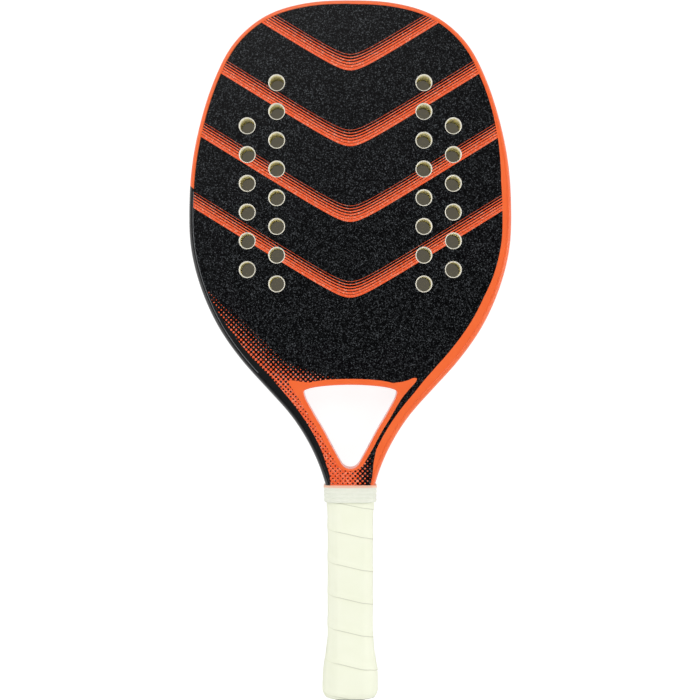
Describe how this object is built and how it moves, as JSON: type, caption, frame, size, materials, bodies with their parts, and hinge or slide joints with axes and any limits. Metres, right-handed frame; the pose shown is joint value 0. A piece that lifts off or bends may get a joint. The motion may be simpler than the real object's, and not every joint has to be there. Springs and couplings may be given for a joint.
{
  "type": "beach tennis racket",
  "caption": "Solid-faced beach tennis racket: drilled foam-cored head in a tube frame, open triangular throat and a wrapped handle with a flared butt.",
  "frame": {"origin": "middle of the bounding box at its underside, where the lowest point of the flared butt lies", "axes": "+Y along the handle from the butt to the top of the head, +X to the right seen from the front face, +Z out of the front face. The head, frame and handle are alike on both sides of X = 0; only the overgrip's winding isn't."},
  "size_m": [0.2306, 0.5, 0.038],
  "materials": {
    "frame_lacquer": "gloss",
    "face_laminate": "satin",
    "core_foam": "matte",
    "filler_foam": "matte",
    "cap_plastic": "satin",
    "staple_steel": "satin",
    "grip_foam": "matte",
    "overgrip_film": "satin",
    "tape_film": "satin",
    "collar_rubber": "satin"
  },
  "bodies": {
    "root": {"frame_tube": "frame_lacquer", "throat_bridge": "frame_lacquer", "throat_filler": "filler_foam", "foam_core": "core_foam", "front_skin": "face_laminate", "back_skin": "face_laminate", "pallet_front": "filler_foam", "pallet_back": "filler_foam", "butt_cap": "cap_plastic", "staple_front": "staple_steel", "staple_back": "staple_steel", "base_grip": "grip_foam", "overgrip": "overgrip_film", "finishing_tape": "tape_film", "collar_band": "collar_rubber"}
  },
  "joints": []
}
